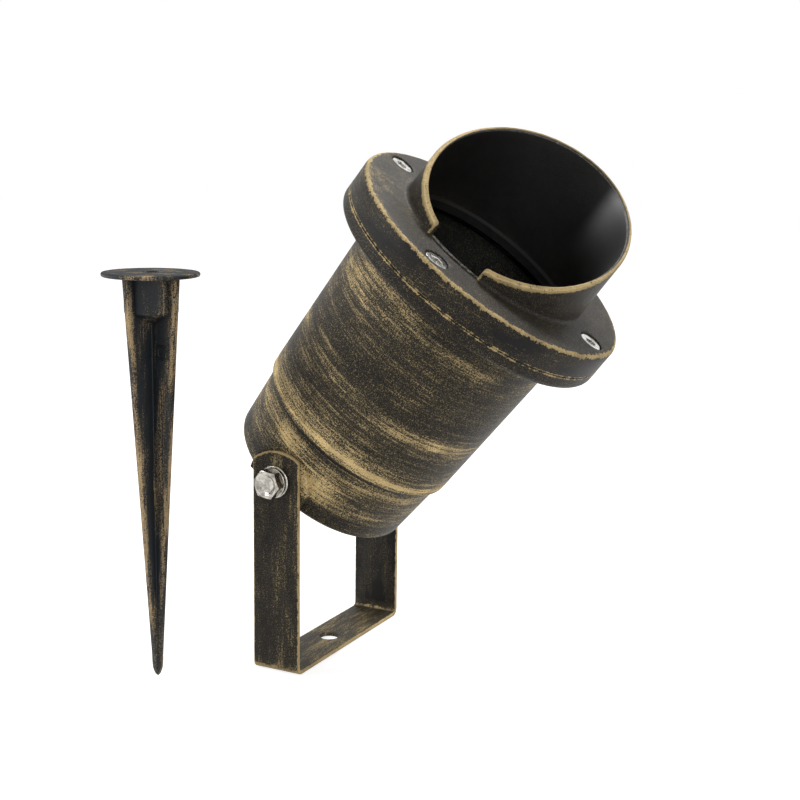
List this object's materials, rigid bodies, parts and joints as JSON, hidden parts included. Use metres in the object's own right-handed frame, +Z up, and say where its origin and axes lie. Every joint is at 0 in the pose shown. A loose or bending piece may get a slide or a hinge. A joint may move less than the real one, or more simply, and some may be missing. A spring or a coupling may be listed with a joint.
{
  "type": "garden spike spotlight",
  "caption": "Garden spotlight: tilting cylindrical lamp head with a flanged glass front and slanted glare hood, on a U bracket, with its separate ground spike standing beside it.",
  "frame": {"origin": "centre of the bolt hole in the bracket's base, on the underside of the base", "axes": "+Z up, +Y along the head's tilt axis, and the lamp aims towards +X and up"},
  "size_m": [0.1714, 0.142, 0.2089],
  "materials": {
    "housing_coat": "black coat on cast aluminium, brushed with antique gold in rings round the body",
    "cap_coat": "black coat on cast aluminium, gold rubbed through on the edges, matt black inside the hood",
    "bracket_coat": "black coat on steel bar, brushed with antique gold along the bar and on its edges",
    "spike_plastic": "blue-black moulded plastic with dry-brushed ochre streaks",
    "stainless": "bright stainless steel, slightly scratched",
    "lens": "clear toughened glass",
    "seal_rubber": "matt black rubber",
    "ceramic": "off-white glazed ceramic",
    "contact_metal": "plain brass",
    "zinc_steel": "zinc-plated steel",
    "block_plastic": "off-white moulded plastic",
    "live_insulation": "brown wire insulation",
    "neutral_insulation": "blue wire insulation",
    "earth_insulation": "green wire insulation with a yellow stripe",
    "gland_plastic": "black moulded plastic"
  },
  "bodies": {
    "spike": {"spike": "spike_plastic"},
    "bracket": {"bracket": "bracket_coat", "flat_washers": "stainless"},
    "head": {"spring_washers": "stainless", "pivot_bolts": "stainless", "housing": "housing_coat", "front_cap": "cap_coat", "cap_screws": "stainless", "lens_glass": "lens", "lens_gasket": "seal_rubber", "lampholder": "ceramic", "lampholder_contacts": "contact_metal", "lampholder_screws": "zinc_steel", "lampholder_stand": "zinc_steel", "stand_screws": "zinc_steel", "terminal_block": "block_plastic", "terminal_screws": "zinc_steel", "block_screw": "zinc_steel", "earth_tag": "contact_metal", "earth_screw": "zinc_steel", "live_wire": "live_insulation", "neutral_wire": "neutral_insulation", "earth_wire": "earth_insulation", "gland_body": "gland_plastic", "gland_nut": "gland_plastic", "gland_seal": "seal_rubber", "gland_gasket": "seal_rubber", "gland_locknut": "gland_plastic"}
  },
  "joints": [
    {"name": "pan", "type": "hinge", "parent": "spike", "child": "bracket", "pos_m": [0, 0, 0], "axis": [0, 0, 1], "range_deg": [-55, 175]},
    {"name": "tilt", "type": "hinge", "parent": "bracket", "child": "head", "pos_m": [0, 0, 0.076], "axis": [0, 1, 0], "range_deg": [-38.5, 51.5]}
  ]
}
